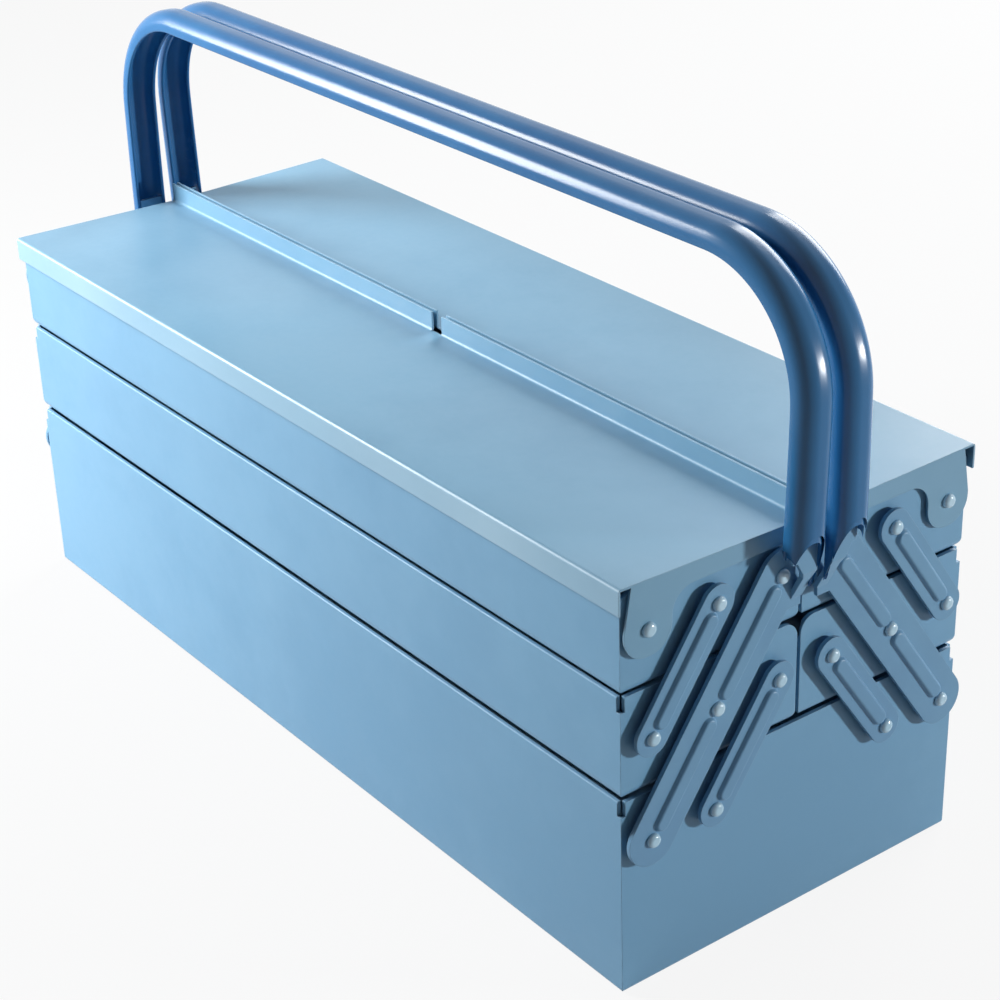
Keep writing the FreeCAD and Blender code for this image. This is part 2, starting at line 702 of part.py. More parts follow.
def draw_channel(sketch):
    """Half-round channel section, its open side down."""
    outer = "(sizes.handle_width / 2)"
    inner = "(sizes.handle_width / 2 - sizes.handle_gauge)"
    normal = FreeCAD.Vector(0, 0, 1)
    centre = FreeCAD.Vector(0, 0, 0)
    half_turn = value("pi")
    arcs = []
    for radius in (outer, inner):
        circle = Part.Circle(centre, normal, value(radius))
        arc = sketch.addGeometry(Part.ArcOfCircle(circle, 0, half_turn))
        arcs.append(arc)
        sketch.addConstraint(Sketcher.Constraint("Coincident", arc, 3, -1, 1))
        index = sketch.addConstraint(Sketcher.Constraint("Radius", arc, value(radius)))
        sketch.setExpression(f"Constraints[{index}]", radius)
        sketch.addConstraint(Sketcher.Constraint("PointOnObject", arc, 1, -1))
        sketch.addConstraint(Sketcher.Constraint("PointOnObject", arc, 2, -1))
    for vertex, sign in ((1, 1), (2, -1)):
        start = FreeCAD.Vector(sign * value(outer), 0, 0)
        stop = FreeCAD.Vector(sign * value(inner), 0, 0)
        edge = sketch.addGeometry(Part.LineSegment(start, stop))
        sketch.addConstraint(Sketcher.Constraint("Coincident", edge, 1, arcs[0], vertex))
        sketch.addConstraint(Sketcher.Constraint("Coincident", edge, 2, arcs[1], vertex))


def add_mouths(body):
    """Slanted cut that opens the crown of the channel above each foot."""
    mouths = new_sketch(body, "XZ_Plane")
    inside = f"({HALF_LENGTH} + sizes.leg_standoff - sizes.handle_width / 2)"
    crown = f"({HALF_LENGTH} + sizes.leg_standoff + sizes.handle_width / 2)"
    over = "sizes.cut_overrun"
    low = f"(-{LEG_REACH} - {over})"
    top = "(sizes.mouth_top_rise - sizes.bar_rise)"
    foot = "(-sizes.mouth_foot_drop - sizes.bar_rise)"
    for end in (RIGHT, LEFT):
        draw_polygon(mouths, (
            (signed(end, f"({inside} + {over})"), foot),
            (signed(end, crown), top),
            (signed(end, f"({crown} + {over})"), top),
            (signed(end, f"({crown} + {over})"), low),
            (signed(end, f"({inside} + {over})"), low),
        ))
    add_pocket(body, mouths, "(2 * sizes.handle_width)", both_ways=True)


def trim_feet(body, half):
    """Slanted cut that shortens the outer flank of each foot beside the top rivet."""
    trim = new_sketch(body, "YZ_Plane")
    edge = signed(half, "sizes.trim_inset")
    outside = signed(half, "(sizes.handle_width / 2 + sizes.cut_overrun)")
    low = f"(-{LEG_REACH} - sizes.cut_overrun)"
    draw_polygon(trim, (
        (edge, low),
        (outside, low),
        (outside, "(sizes.trim_top_rise - sizes.bar_rise)"),
        (edge, "(-sizes.trim_foot_drop - sizes.bar_rise)"),
    ))
    reach = "(sizes.tray_length + 2 * sizes.leg_standoff + 2 * sizes.handle_width)"
    add_pocket(body, trim, reach, both_ways=True)


# Rivets and spacers: one group for each tray, the same at both ends.

def make_rivets(label, pivots, head_face):
    """Round-headed rivets through the end walls, peened over inside the tray."""
    body = new_body(label)
    inside = f"({HALF_LENGTH} - sizes.sheet_gauge)"
    head = f"({head_face} + sizes.end_play)"
    shank = new_sketch(body, "YZ_Plane", inside)
    heads = new_sketch(body, "YZ_Plane", head)
    tails = new_sketch(body, "YZ_Plane", inside)
    for across, up in pivots:
        draw_circle(shank, across, up, "sizes.rivet_diameter")
        draw_circle(heads, across, up, "sizes.rivet_head_diameter")
        draw_circle(tails, across, up, "sizes.rivet_tail_diameter")
    features = [
        add_pad(body, shank, f"({head} - {inside})"),
        add_pad(body, heads, "sizes.rivet_head_height"),
        add_pad(body, tails, "sizes.rivet_tail_height", backwards=True),
    ]
    crown = f"({head} + sizes.rivet_head_height)"
    tail = f"({inside} - sizes.rivet_tail_height)"
    mirror_ends(body, features)
    ends = (crown, f"(-{crown})")
    add_fillet(body, "sizes.rivet_head_round", lambda edge, middle: on_any(middle.x, ends))
    ends_inside = (tail, f"(-{tail})")
    add_fillet(body, "sizes.rivet_tail_round", lambda edge, middle: on_any(middle.x, ends_inside))


def on_any(number, expressions):
    """True where a coordinate lies on one of several places."""
    return any(near_value(number, expression) for expression in expressions)


def make_spacers(label, pivots, thickness):
    """Rings on the rivets that hold an arm or a lid ear off the end wall."""
    body = new_body(label)
    rings = new_sketch(body, "YZ_Plane", HALF_LENGTH)
    for across, up in pivots:
        draw_circle(rings, across, up, "sizes.spacer_diameter")
        draw_circle(rings, across, up, HOLE_DIAMETER)
    pad = add_pad(body, rings, thickness)
    mirror_ends(body, [pad])


def check_document():
    """Stop where an object failed or a piece has no valid shape."""
    for item in doc.Objects:
        if any(flag in item.State for flag in ("Invalid", "Error")):
            raise RuntimeError(f"{item.Label} is in state {item.State}")
    for item in parts:
        if item.Shape.isNull() or not item.Shape.isValid():
            raise RuntimeError(f"{item.Label} has no valid shape")


def make_half(half):
    """Every piece of the front or the rear half."""
    name = HALF_NAMES[half]
    make_mid_tray(half)
    make_top_tray(half)
    make_lid(half)
    make_handle(half)
    for end, end_name in END_NAMES.items():
        make_long_arm(f"{name}_long_arm_{end_name}", half, end)
        make_short_arm(f"{name}_lower_arm_{end_name}", half, end, PIVOT_MIDDLE, PIVOT_LOW)
        make_short_arm(f"{name}_upper_arm_{end_name}", half, end, PIVOT_OUTER, PIVOT_MID)
    make_rivets(f"{name}_mid_rivets", mid_pivots(half), ARM_OUTER_FACE)
    make_rivets(f"{name}_top_rivets", top_pivots(half), ARM_OUTER_FACE)
    make_rivets(f"{name}_lid_rivets", lid_pivots(half), LID_HALF_LENGTH)
    make_spacers(f"{name}_mid_spacers", mid_pivots(half), "sizes.arm_standoff")
    make_spacers(f"{name}_top_spacers", top_pivots(half), "sizes.arm_standoff")
    lid_gap = "(sizes.lid_overhang - sizes.sheet_gauge)"
    make_spacers(f"{name}_lid_spacers", lid_pivots(half), lid_gap)


make_base_tray()
make_rivets("base_rivets", base_pivots(), ARM_OUTER_FACE)
make_spacers("base_spacers", base_pivots(), "sizes.arm_standoff")
for side in (FRONT, REAR):
    make_half(side)
doc.recompute()
check_document()

os.makedirs("parts", exist_ok=True)
for piece in parts:
    piece.Shape.exportStep(f"parts/{piece.Label}.step")
    print(piece.Label, len(piece.Shape.Solids), f"{piece.Shape.Volume:.0f} mm3")
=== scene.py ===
"""Looks of the cantilever tool box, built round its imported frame.

The sheet-metal nodes keep their shapes and take painted finishes. The two bail
handles are modelled again here with rolled lips, and the studio, the lamps and
the camera stand round the shut box. Lengths are metres in the frame of the part.
"""

import logging
import math
from dataclasses import dataclass, field
from enum import Enum

import bmesh
import bpy
from mathutils import Matrix, Vector


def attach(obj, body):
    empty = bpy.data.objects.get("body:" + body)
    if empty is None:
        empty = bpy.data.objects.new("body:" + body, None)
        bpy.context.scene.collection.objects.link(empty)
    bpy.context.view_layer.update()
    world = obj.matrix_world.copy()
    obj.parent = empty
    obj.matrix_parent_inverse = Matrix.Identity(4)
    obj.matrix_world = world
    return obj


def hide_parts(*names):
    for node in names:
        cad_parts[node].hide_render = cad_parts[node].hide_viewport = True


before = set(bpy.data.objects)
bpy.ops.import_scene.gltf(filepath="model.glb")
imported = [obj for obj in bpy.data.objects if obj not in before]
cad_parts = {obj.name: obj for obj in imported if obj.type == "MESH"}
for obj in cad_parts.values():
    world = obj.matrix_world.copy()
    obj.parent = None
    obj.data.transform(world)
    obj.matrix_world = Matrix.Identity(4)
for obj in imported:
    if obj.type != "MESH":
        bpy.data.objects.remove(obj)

LOG = logging.getLogger("tool_box")
MM = 0.001
WHITE = (1.0, 1.0, 1.0, 1.0)
Colour = tuple[float, float, float, float]


class Half(Enum):
    """The two halves of the box, with the side of the width each lies on."""

    FRONT = -1
    REAR = 1

    @property
    def label(self) -> str:
        """Word that starts the names of this half's nodes."""
        return self.name.lower()


class End(Enum):
    """The two ends of the box, with the side of the length each lies on."""

    RIGHT = 1
    LEFT = -1

    @property
    def label(self) -> str:
        """Word that ends the names of this end's arms."""
        return self.name.lower()


class Graph:
    """Short way to add and link the nodes of one shader tree."""

    def __init__(self, tree: bpy.types.NodeTree) -> None:
        """Keep the tree.

        Args:
            tree: Node tree of a material or of the world.
        """
        self.tree = tree

    def node(self, kind: str, **settings: object) -> bpy.types.Node:
        """Add a node.

        Args:
            kind: Name of the node class without its ShaderNode prefix.
            **settings: Properties to set on the node.

        Returns:
            The new node.
        """
        made = self.tree.nodes.new(f"ShaderNode{kind}")
        for name, wanted in settings.items():
            setattr(made, name, wanted)
        return made

    def feed(self, socket: bpy.types.NodeSocket, source: object) -> None:
        """Link a socket to another, or set it to a number or colour.

        Args:
            socket: Input to fill.
            source: Output socket, number, or tuple.
        """
        if isinstance(source, bpy.types.NodeSocket):
            self.tree.links.new(source, socket)
        else:
            socket.default_value = source

    def maths(self, operation: str, *values: object) -> bpy.types.NodeSocket:
        """Add a Math node.

        Args:
            operation: Blender's name of the operation.
            *values: Inputs in order.

        Returns:
            Its output.
        """
        made = self.node("Math", operation=operation)
        for socket, source in zip(made.inputs, values):
            self.feed(socket, source)
        return made.outputs[0]

    def spread(self, source: object, low: float, high: float,
               first: float = 0.0, last: float = 1.0) -> bpy.types.NodeSocket:
        """Map a value smoothly from one range to another, kept inside it.

        Args:
            source: Value to map.
            low: Value that gives first.
            high: Value that gives last.
            first: Result at low.
            last: Result at high.

        Returns:
            The mapped value.
        """
        made = self.node("MapRange", interpolation_type="SMOOTHSTEP")
        for socket, number in zip(made.inputs[:5], (source, low, high, first, last)):
            self.feed(socket, number)
        return made.outputs[0]

    def noise(self, place: object, scale: float, detail: float = 2.0,
              roughness: float = 0.5) -> bpy.types.NodeSocket:
        """Add a noise texture.

        Args:
            place: Coordinates to read.
            scale: Features per metre.
            detail: Number of finer octaves.
            roughness: Strength of the finer octaves.

        Returns:
            Its value, about 0.3 to 0.7 for most of a surface.
        """
        made = self.node("TexNoise")
        self.feed(made.inputs["Vector"], place)
        made.inputs["Scale"].default_value = scale
        made.inputs["Detail"].default_value = detail
        made.inputs["Roughness"].default_value = roughness
        return made.outputs[0]

    def mix(self, share: object, first: object, last: object) -> bpy.types.NodeSocket:
        """Mix two colours.

        Args:
            share: How much of the last colour shows.
            first: Colour at 0.
            last: Colour at 1.

        Returns:
            The mixed colour.
        """
        made = self.node("Mix", data_type="RGBA")
        self.feed(made.inputs[0], share)
        self.feed(made.inputs[6], first)
        self.feed(made.inputs[7], last)
        return made.outputs[2]


def colour(red: int, green: int, blue: int) -> Colour:
    """Turn display values into the linear colour that a shader takes.

    Args:
        red: 0 to 255.
        green: 0 to 255.
        blue: 0 to 255.

    Returns:
        Linear colour with an alpha of 1.
    """
    parts = []
    for number in (red, green, blue):
        share = number / 255
        parts.append(share / 12.92 if share <= 0.04045 else ((share + 0.055) / 1.055) ** 2.4)
    return (*parts, 1.0)


@dataclass(frozen=True)
class Paint:
    """Steel-blue stoving paint on pressed sheet.

    The colour drifts a little over a panel and is paler where the edges of the
    sheet are rubbed. The skin has fine orange peel and a changing gloss, a film of
    dust lies on what faces up, and the sheet under it waves slightly. Scales count
    features per metre.
    """

    name: str
    body: Colour
    deep: Colour
    roughness: float = 0.33
    specular: float = 0.30
    coat: float = 0.0
    coat_roughness: float = 0.10
    metallic: float = 0.0
    ior: float = 1.5
    drift_scale: float = 6.0
    mottle_scale: float = 55.0
    mottle_share: float = 0.25
    smear_scale: float = 14.0
    speckle_scale: float = 240.0
    speckle_gain: float = 0.04
    edge_radius: float = 0.45 * MM
    edge_wear: float = 0.55
    edge_scale: float = 90.0
    edge_colour: Colour = colour(178, 206, 224)
    edge_dulling: float = 0.15
    peel_depth: float = 0.015 * MM
    peel_scale: float = 170.0
    wave_depth: float = 0.20 * MM
    wave_scale: float = 11.0
    dust: float = 0.10
    dust_scale: float = 7.0
    dust_colour: Colour = colour(206, 214, 218)
    # The flank settings paint a highlight: a pale band on the long outer sides, out past flank.
    flank: float = 1.0
    flank_highlight: float = 0.0
    flank_scale: float = 5.0
    flank_colour: Colour = colour(196, 222, 236)

    def build(self) -> bpy.types.Material:
        """Make the material.

        Returns:
            Material with its node tree.
        """
        material = bpy.data.materials.new(self.name)
        material.use_nodes = True
        graph = Graph(material.node_tree)
        shader = material.node_tree.nodes["Principled BSDF"]
        place = graph.node("TexCoord").outputs["Object"]
        soft = graph.node("Bevel", samples=4)
        soft.inputs["Radius"].default_value = self.edge_radius
        rubbed = self.rubbed_edges(graph, place, soft.outputs[0])
        dusty = self.settled_dust(graph, place)
        graph.feed(shader.inputs["Base Color"], self.colouring(graph, place, rubbed, dusty))
        graph.feed(shader.inputs["Roughness"], self.sheen(graph, place, rubbed, dusty))
        graph.feed(shader.inputs["Normal"], self.relief(graph, place, soft.outputs[0]))
        shader.inputs["Metallic"].default_value = self.metallic
        shader.inputs["IOR"].default_value = self.ior
        shader.inputs["Specular IOR Level"].default_value = self.specular
        shader.inputs["Coat Weight"].default_value = self.coat
        shader.inputs["Coat Roughness"].default_value = self.coat_roughness
        return material

    def rubbed_edges(self, graph: Graph, place: bpy.types.NodeSocket,
                     rounded: bpy.types.NodeSocket) -> bpy.types.NodeSocket:
        """Find the sheet's edges, more or less rubbed from place to place.

        Args:
            graph: Graph of the material.
            place: Object coordinates.
            rounded: Normal that is rounded near edges.

        Returns:
            Share of rubbed paint, 0 to edge_wear.
        """
        straight = graph.node("NewGeometry").outputs["Normal"]
        turn = graph.node("VectorMath", operation="DOT_PRODUCT")
        graph.feed(turn.inputs[0], rounded)
        graph.feed(turn.inputs[1], straight)
        edge = graph.spread(turn.outputs["Value"], 0.995, 0.90)
        patchy = graph.spread(graph.noise(place, self.edge_scale, 4.0, 0.6), 0.38, 0.60, 0.25, 1.0)
        return graph.maths("MULTIPLY", graph.maths("MULTIPLY", edge, patchy), self.edge_wear)

    def settled_dust(self, graph: Graph, place: bpy.types.NodeSocket) -> bpy.types.NodeSocket:
        """Find where dust settles on what faces up.

        Args:
            graph: Graph of the material.
            place: Object coordinates.

        Returns:
            Share of dust, 0 to dust.
        """
        facing = graph.node("SeparateXYZ")
        graph.feed(facing.inputs[0], graph.node("NewGeometry").outputs["Normal"])
        level = graph.spread(facing.outputs["Z"], 0.75, 1.0)
        cloud = graph.spread(graph.noise(place, self.dust_scale, 1.5), 0.35, 0.75)
        return graph.maths("MULTIPLY", graph.maths("MULTIPLY", level, cloud), self.dust)

    def colouring(self, graph: Graph, place: bpy.types.NodeSocket, rubbed: bpy.types.NodeSocket,
                  dusty: bpy.types.NodeSocket) -> bpy.types.NodeSocket:
        """Mix the paint's colour with its rubbed edges, its dust and the painted highlight on its long outer
        sides.

        Args:
            graph: Graph of the material.
            place: Object coordinates.
            rubbed: Share of rubbed paint.
            dusty: Share of dust.

        Returns:
            Colour to feed the shader.
        """
        drift = graph.noise(place, self.drift_scale)
        mottle = graph.noise(place, self.mottle_scale, 3.0, 0.55)
        cloud = graph.maths("ADD", graph.maths("MULTIPLY", drift, 1.0 - self.mottle_share),
                            graph.maths("MULTIPLY", mottle, self.mottle_share))
        base = graph.mix(graph.spread(cloud, 0.36, 0.64), self.body, self.deep)
        base = graph.mix(dusty, base, self.dust_colour)
        # Painted highlight: a pale band on the long outer sides, where light catches the lid's skirt.
        base = graph.mix(self.rubbed_flanks(graph, place), base, self.flank_colour)
        return graph.mix(rubbed, base, self.edge_colour)

    def rubbed_flanks(self, graph: Graph, place: bpy.types.NodeSocket) -> bpy.types.NodeSocket:
        """Find the long outer sides and paint them pale, a painted highlight where light catches the lid's
        skirt.

        Args:
            graph: Graph of the material.
            place: Object coordinates.

        Returns:
            Share of painted highlight, 0 to the highlight's strength.
        """
        parts = graph.node("SeparateXYZ")
        graph.feed(parts.inputs[0], place)
        depth = graph.maths("ABSOLUTE", parts.outputs["Y"])
        outer = graph.spread(depth, self.flank - 1.0 * MM, self.flank)
        patchy = graph.spread(graph.noise(place, self.flank_scale), 0.35, 0.65, 0.5, 1.0)
        return graph.maths("MULTIPLY", graph.maths("MULTIPLY", outer, patchy), self.flank_highlight)

    def sheen(self, graph: Graph, place: bpy.types.NodeSocket, rubbed: bpy.types.NodeSocket,
              dusty: bpy.types.NodeSocket) -> bpy.types.NodeSocket:
        """Vary the roughness with smears, speckle, rubbing and dust.

        Args:
            graph: Graph of the material.
            place: Object coordinates.
            rubbed: Share of rubbed paint.
            dusty: Share of dust.

        Returns:
            Roughness to feed the shader.
        """
        smear = graph.noise(place, self.smear_scale)
        rough = graph.spread(smear, 0.30, 0.72, self.roughness - 0.03, self.roughness + 0.05)
        speckle = graph.noise(place, self.speckle_scale, 1.0)
        rough = graph.maths("ADD", rough, graph.spread(speckle, 0.30, 0.70, last=self.speckle_gain))
        rough = graph.maths("ADD", rough, graph.maths("MULTIPLY", rubbed, self.edge_dulling))
        return graph.maths("ADD", rough, dusty)

    def relief(self, graph: Graph, place: bpy.types.NodeSocket,
               rounded: bpy.types.NodeSocket) -> bpy.types.NodeSocket:
        """Add the waves of the sheet and the orange peel of the paint.

        Args:
            graph: Graph of the material.
            place: Object coordinates.
            rounded: Normal that is rounded near edges.

        Returns:
            Normal to feed the shader.
        """
        waves = graph.node("Bump")
        waves.inputs["Strength"].default_value = 1.0
        waves.inputs["Distance"].default_value = self.wave_depth
        graph.feed(waves.inputs["Height"], graph.noise(place, self.wave_scale, 0.0))
        graph.feed(waves.inputs["Normal"], rounded)
        peel = graph.node("Bump")
        peel.inputs["Strength"].default_value = 1.0
        peel.inputs["Distance"].default_value = self.peel_depth
        graph.feed(peel.inputs["Height"], graph.noise(place, self.peel_scale, 0.0))
        graph.feed(peel.inputs["Normal"], waves.outputs[0])
        return peel.outputs[0]


@dataclass
class Finishes:
    """Every finish of the box, made once."""

    tray: bpy.types.Material = field(init=False)
    lid: bpy.types.Material = field(init=False)
    arm: bpy.types.Material = field(init=False)
    handle: bpy.types.Material = field(init=False)
    rivet: bpy.types.Material = field(init=False)

    def __post_init__(self) -> None:
        """Build the materials."""
        self.tray = Paint("tray_paint", colour(118, 165, 197), colour(110, 157, 190)).build()
        # The lid's pale band along its long outer skirts is a painted highlight.
        self.lid = Paint("lid_paint", colour(119, 163, 190), colour(111, 155, 183), roughness=0.34,
                         specular=0.4, flank=100.6 * MM, flank_highlight=0.38).build()
        self.arm = Paint("arm_paint", colour(112, 157, 189), colour(104, 148, 182), wave_depth=0.03 * MM,
                         edge_wear=0.35).build()
        self.handle = Paint("handle_paint", colour(44, 108, 158), colour(34, 95, 146), roughness=0.19,
                            specular=0.1, coat=0.4, coat_roughness=0.25, wave_depth=0.0,
                            edge_wear=0.45, dust=0.0).build()
        # The rivets' pale colour is a painted highlight on their heads.
        self.rivet = Paint("rivet_paint", colour(186, 218, 236), colour(160, 200, 222), roughness=0.19,
                           specular=0.5, coat=0.5, coat_roughness=0.08, edge_radius=0.2 * MM,
                           wave_depth=0.0, edge_wear=0.3, dust=0.0).build()


def dress(node: str, material: bpy.types.Material) -> None:
    """Give a frame node one finish all over.

    Args:
        node: Name of the node.
        material: Finish that it takes.
    """
    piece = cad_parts[node]
    if not piece.material_slots:
        piece.data.materials.append(material)
    for slot in piece.material_slots:
        slot.material = material


@dataclass
class Trays:
    """The five hemmed trays."""

    finishes: Finishes

    def build(self) -> list[str]:
        """Dress the trays.

        Returns:
            Names of the dressed nodes.
        """
        nodes = ["base_tray"]
        nodes += [f"{half.label}_{level}_tray" for half in Half for level in ("mid", "top")]
        for node in nodes:
            dress(node, self.finishes.tray)
        return nodes


@dataclass
class Lids:
    """The two folded lids."""

    finishes: Finishes

    def build(self) -> list[str]:
        """Dress the lids.

        Returns:
            Names of the dressed nodes.
        """
        nodes = [f"{half.label}_lid" for half in Half]
        for node in nodes:
            dress(node, self.finishes.lid)
        return nodes


@dataclass
class Linkage:
    """Arms at both ends, with their rivets and spacer rings."""

    finishes: Finishes

    def build(self) -> list[str]:
        """Dress the arms, rivets and rings.

        Returns:
            Names of the dressed nodes.
        """
        arms = [f"{half.label}_{kind}_arm_{end.label}"
                for half in Half for kind in ("long", "lower", "upper") for end in End]
        for node in arms:
            dress(node, self.finishes.arm)
        fasteners = ["base_rivets", "base_spacers"]
        fasteners += [f"{half.label}_{level}_{kind}" for half in Half
                      for level in ("mid", "top", "lid") for kind in ("rivets", "spacers")]
        for node in fasteners:
            dress(node, self.finishes.rivet)
        return arms + fasteners


@dataclass
class Handles:
    """The two bail handles, each a half-round channel with rolled lips.

    A handle is swept from one section: a straight bar, a round corner and a leg
    that bows slightly inwards. The section's walls stand straight from the lips,
    a skirt below the bar's axis, to a crown above it, which leaves the top a little
    flat. The foot is cut open on two slants over the tongue of the long arm.
    """

    finishes: Finishes
    bar_height: float = 308.9 * MM
    bar_radius: float = 9.0 * MM
    crown: float = 1.3 * MM
    skirt: float = 0.8 * MM
    gauge: float = 1.2 * MM
    lip_radius: float = 0.95 * MM
    leg_place: float = 267.4 * MM
    corner_radius: float = 54.0 * MM
    leg_reach: float = 139.0 * MM
    leg_lean: float = 1.7 * MM
    offset: float = 10.3 * MM
    splay: float = 2.2 * MM
    mouth_foot: tuple[float, float] = (264.5 * MM, -139.0 * MM)
    mouth_top: tuple[float, float] = (276.5 * MM, -106.5 * MM)
    trim_foot: tuple[float, float] = (2.5 * MM, -134.0 * MM)
    trim_top: tuple[float, float] = (14.0 * MM, -102.0 * MM)
    arc_steps: int = 28
    corner_steps: int = 32
    leg_steps: int = 10

    def build(self) -> list[str]:
        """Make both handles in place of their frame nodes.

        Returns:
            Names of the new pieces.
        """
        made = []
        for half in Half:
            name = f"{half.label}_bail"
            mesh = bpy.data.meshes.new(name)
            shape = self.sweep()
            self.open_foot(shape, half)
            self.finish_shape(shape, half)
            shape.to_mesh(mesh)
            shape.free()
            mesh.materials.append(self.finishes.handle)
            piece = bpy.data.objects.new(name, mesh)
            bpy.context.scene.collection.objects.link(piece)
            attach(piece, f"{half.label}_linkage")
            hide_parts(f"{half.label}_handle")
            made.append(name)
        return made

    def section(self) -> bmesh.types.BMesh:
        """Draw the channel's closed section at the middle of the bar.

        Returns:
            Shape with the section's edges, across Y and Z.
        """
        shape = bmesh.new()
        inner = self.bar_radius - self.gauge
        lip_place = self.bar_radius - self.lip_radius
        meeting = math.acos((inner - lip_place) / self.lip_radius)
        lip_top = self.lip_radius * math.sin(meeting) - self.skirt
        for side in (1, -1):
            start = Vector((0.0, side * self.bar_radius, -self.skirt))
            centre = Vector((0.0, side * lip_place, -self.skirt))
            self.turn_point(shape, start, centre, side * (meeting - 2 * math.pi), self.arc_steps // 2)
            centre = Vector((0.0, side * self.crown, self.crown))
            for reach, low in ((self.bar_radius, -self.skirt), (inner, lip_top)):
                shoulder = Vector((0.0, side * reach, self.crown))
                self.draw_line(shape, Vector((0.0, side * reach, low)), shoulder)
                self.turn_point(shape, shoulder, centre, side * math.pi / 2, self.arc_steps // 2)
        for reach in (self.bar_radius, inner):
            self.draw_line(shape, Vector((0.0, self.crown, reach)), Vector((0.0, -self.crown, reach)))
        bmesh.ops.remove_doubles(shape, verts=shape.verts, dist=0.01 * MM)
        return shape

    def draw_line(self, shape: bmesh.types.BMesh, start: Vector, end: Vector) -> None:
        """Draw one straight edge.

        Args:
            shape: Shape that takes the edge.
            start: First point.
            end: Last point.
        """
        point = bmesh.ops.create_vert(shape, co=start)["vert"]
        last = bmesh.ops.extrude_vert_indiv(shape, verts=point)["verts"]
        bmesh.ops.translate(shape, verts=last, vec=end - start)

    def turn_point(self, shape: bmesh.types.BMesh, start: Vector, centre: Vector, angle: float,
                   steps: int) -> None:
        """Turn one point about an axis along X, which leaves an arc of edges.

        Args:
            shape: Shape that takes the arc.
            start: First point.
            centre: Centre of the arc.
            angle: Turn in radians, from +Y towards +Z.
            steps: Number of edges.
        """
        point = bmesh.ops.create_vert(shape, co=start)["vert"]
        bmesh.ops.spin(shape, geom=point, cent=centre, axis=(1.0, 0.0, 0.0), angle=angle, steps=steps)

    def sweep(self) -> bmesh.types.BMesh:
        """Sweep the section along the bar, round the corner and down the leg.

        Returns:
            Shape of one handle's right half.
        """
        shape = self.section()
        bend = self.leg_place - self.corner_radius
        drop = self.leg_reach - self.corner_radius
        bow = (drop ** 2 + self.leg_lean ** 2) / (2 * self.leg_lean)
        pulled = bmesh.ops.extrude_edge_only(shape, edges=list(shape.edges))["geom"]
        points = [item for item in pulled if isinstance(item, bmesh.types.BMVert)]
        bmesh.ops.translate(shape, verts=points, vec=(bend, 0.0, 0.0))
        ring = [item for item in pulled if not isinstance(item, bmesh.types.BMFace)]
        turned = bmesh.ops.spin(shape, geom=ring, cent=(bend, 0.0, -self.corner_radius), axis=(0.0, 1.0, 0.0),
                                angle=math.pi / 2, steps=self.corner_steps)["geom_last"]
        bmesh.ops.spin(shape, geom=turned, cent=(self.leg_place - bow, 0.0, -self.corner_radius),
                       axis=(0.0, 1.0, 0.0), angle=math.asin(drop / bow), steps=self.leg_steps)
        return shape

    def open_foot(self, shape: bmesh.types.BMesh, half: Half) -> None:
        """Cut the foot on its two slants and close the cut walls.

        Args:
            shape: Right half of the handle.
            half: Half that the handle belongs to, whose outer flank is shortened.
        """
        foot, top = self.mouth_foot, self.mouth_top
        slant = Vector((top[1] - foot[1], 0.0, foot[0] - top[0]))
        self.slice(shape, Vector((foot[0], 0.0, foot[1])), slant)
        foot, top = self.trim_foot, self.trim_top
        slant = Vector((0.0, half.value * (top[1] - foot[1]), foot[0] - top[0]))
        self.slice(shape, Vector((0.0, half.value * foot[0], foot[1])), slant)

    def slice(self, shape: bmesh.types.BMesh, point: Vector, outward: Vector) -> None:
        """Cut away what lies outside one plane and cap the walls.

        Args:
            shape: Shape to cut.
            point: Point of the plane.
            outward: Direction of what is taken away.
        """
        geometry = [*shape.verts, *shape.edges, *shape.faces]
        cut = bmesh.ops.bisect_plane(shape, geom=geometry, dist=0.001 * MM, plane_co=point,
                                     plane_no=outward.normalized(), clear_outer=True)["geom_cut"]
        edges = [item for item in cut if isinstance(item, bmesh.types.BMEdge)]
        bmesh.ops.holes_fill(shape, edges=edges, sides=0)

    def finish_shape(self, shape: bmesh.types.BMesh, half: Half) -> None:
        """Mirror the half handle, splay it and put it in its place.

        Args:
            shape: Right half of the handle.
            half: Half that the handle belongs to.
        """
        geometry = [*shape.verts, *shape.edges, *shape.faces]
        bmesh.ops.mirror(shape, geom=geometry, axis="X", merge_dist=0.01 * MM)
        bmesh.ops.remove_doubles(shape, verts=shape.verts, dist=0.005 * MM)
        bmesh.ops.recalc_face_normals(shape, faces=shape.faces)
        bmesh.ops.triangulate(shape, faces=[face for face in shape.faces if len(face.verts) > 4])
        lean = half.value * math.asin(self.splay / self.leg_reach)
        bmesh.ops.rotate(shape, verts=shape.verts, cent=(0.0, 0.0, 0.0), matrix=Matrix.Rotation(lean, 3, "X"))
        bmesh.ops.translate(shape, verts=shape.verts, vec=(0.0, half.value * self.offset, self.bar_height))
        for face in shape.faces:
            face.smooth = True
        for edge in shape.edges:
            edge.smooth = len(edge.link_faces) == 2 and edge.calc_face_angle() < math.radians(35.0)


@dataclass(frozen=True)
class Lamp:
    """One flat soft lamp: its centre, its width and height, and its output in watts."""

    name: str
    place: tuple[float, float, float]
    size: tuple[float, float]
    power: float


